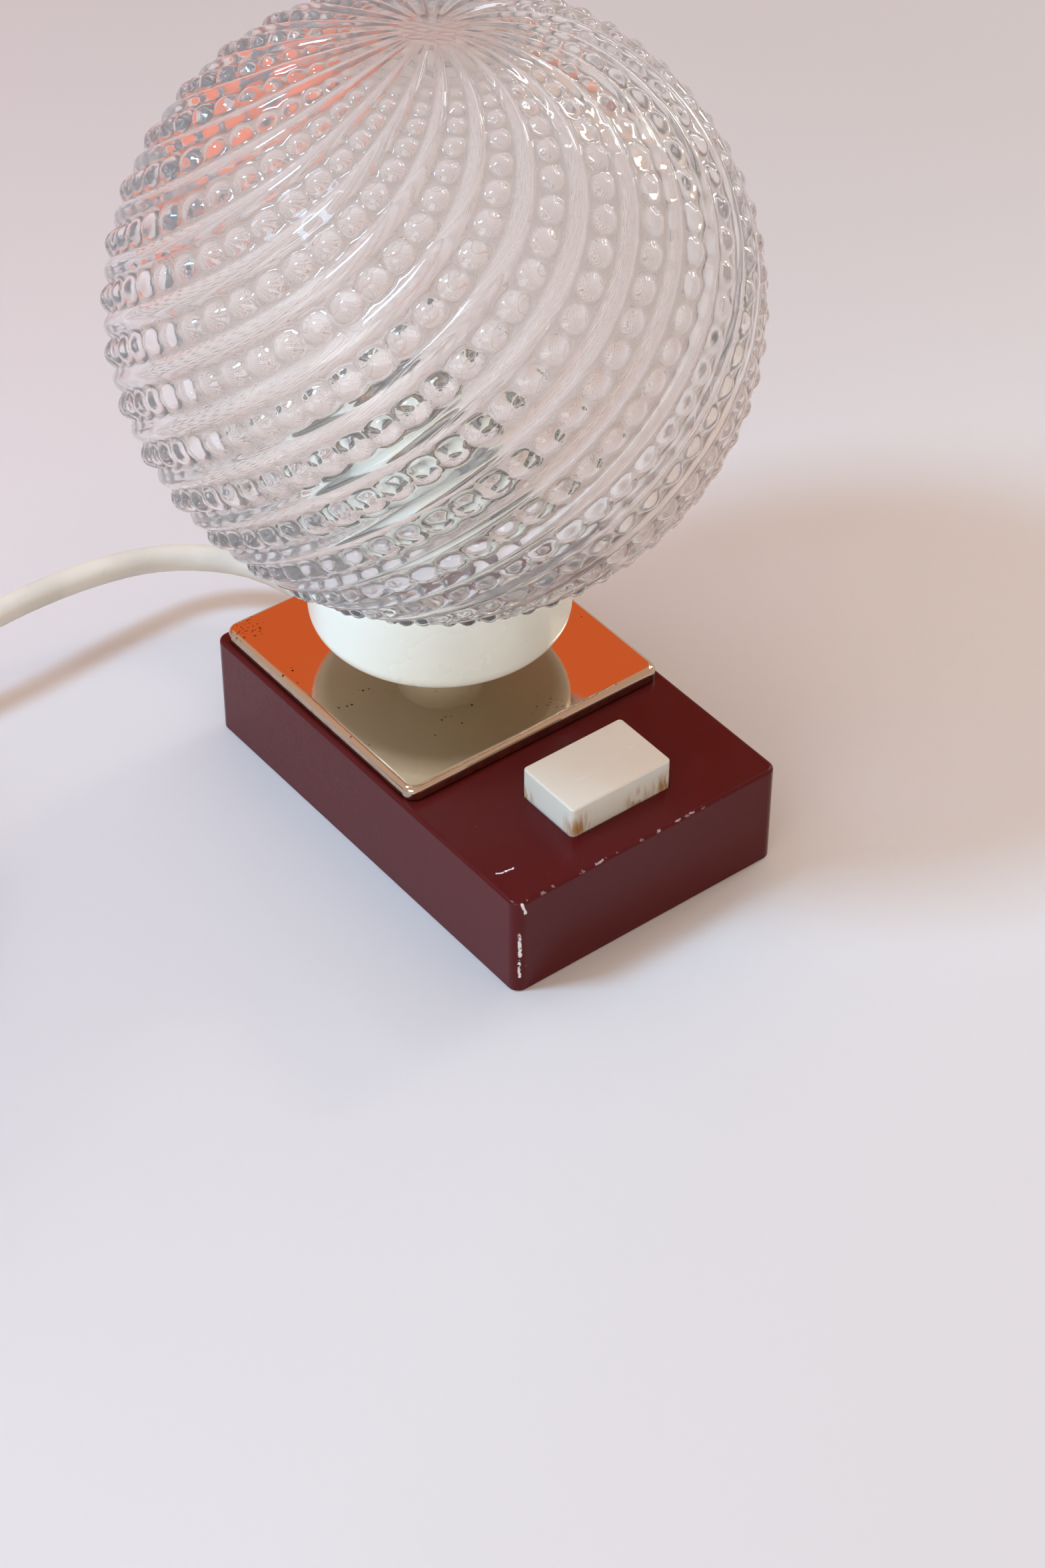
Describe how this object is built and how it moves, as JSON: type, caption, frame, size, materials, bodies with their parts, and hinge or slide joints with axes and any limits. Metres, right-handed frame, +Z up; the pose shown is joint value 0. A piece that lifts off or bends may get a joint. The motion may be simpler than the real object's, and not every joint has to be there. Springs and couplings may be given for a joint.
{
  "type": "night lamp",
  "caption": "Night lamp with a box base, a push button, a bright plate and a clear pressed-glass globe standing in a white cup, with a mains cord and plug.",
  "frame": {"origin": "middle of the base's resting face", "axes": "+Z up through the globe, -Y to the button end, +Y to the end where the cord leaves"},
  "size_m": [0.2893, 0.1547, 0.1807],
  "materials": {
    "maroon_plastic": "satin gloss moulded plastic",
    "black_plastic": "plain moulded",
    "steel": "zinc plated",
    "rubber": "soft matt",
    "bright_metal": "polished, lightly pitted",
    "white_plastic": "smooth white",
    "clear_glass": "pressed, ribbed and nubbed",
    "ivory_plastic": "smooth ivory",
    "brass": "plain",
    "ceramic": "unglazed",
    "aluminium": "plain sheet",
    "bulb_glass": "thin clear",
    "cord_plastic": "ivory flexible sheath",
    "brown_wire": "insulated wire",
    "blue_wire": "insulated wire"
  },
  "bodies": {
    "lamp": {"base_housing": "maroon_plastic", "bottom_cover": "black_plastic", "cover_screws": "steel", "foot_pads": "rubber", "mirror_plate": "bright_metal", "neck_collar": "white_plastic", "shade_cup": "white_plastic", "seat_ring": "rubber", "switch_body": "black_plastic", "switch_contacts": "brass", "contact_screws": "brass", "switch_screws": "steel", "switch_spring": "steel", "stem_tube": "steel", "lower_washer": "steel", "lower_nut": "steel", "upper_washer": "steel", "upper_nut": "steel", "holder_body": "white_plastic", "holder_insert": "ceramic", "holder_shell": "brass", "holder_tongue": "brass", "holder_screws": "brass", "cord_gland": "cord_plastic", "cord_tail": "cord_plastic", "cord_clamp": "black_plastic", "clamp_screws": "steel", "live_wire": "brown_wire", "neutral_wire": "blue_wire", "switched_wire": "brown_wire", "cord_stretch": "cord_plastic", "cord_coil": "cord_plastic", "coil_tie": "black_plastic", "plug_relief": "cord_plastic", "plug_body": "cord_plastic", "plug_pins": "brass"},
    "button": {"button_cap": "ivory_plastic", "switch_plunger": "black_plastic", "switch_bridge": "brass"},
    "globe": {"glass_globe": "clear_glass"},
    "bulb_foot": {"bulb_insulator": "black_plastic", "bulb_tip": "aluminium"},
    "bulb": {"bulb_cap": "aluminium", "bulb_glass": "bulb_glass", "bulb_stem": "bulb_glass", "bulb_filament": "steel"}
  },
  "joints": [
    {"name": "button_press", "type": "slide", "parent": "lamp", "child": "button", "axis": [0, 0, -1], "range_m": [0, 0.003], "stiffness_N_per_m": 400, "springref_m": -0.003, "deforming": ["switch_spring"]},
    {"name": "globe_lift", "type": "slide", "parent": "lamp", "child": "globe", "axis": [0, 0, 1], "range_m": [0, 0.03]},
    {"name": "bulb_rise", "type": "slide", "parent": "lamp", "child": "bulb_foot", "axis": [0, 0, 1], "range_m": [0, 0.00845]},
    {"name": "bulb_turn", "type": "hinge", "parent": "bulb_foot", "child": "bulb", "pos_m": [0, 0.0181, 0.075], "axis": [0, 0, 1], "range_deg": [0, 1080]}
  ],
  "couplings": [
    {"joint": "bulb_turn", "follows": "bulb_rise", "rad_per_m": 2228.1}
  ]
}
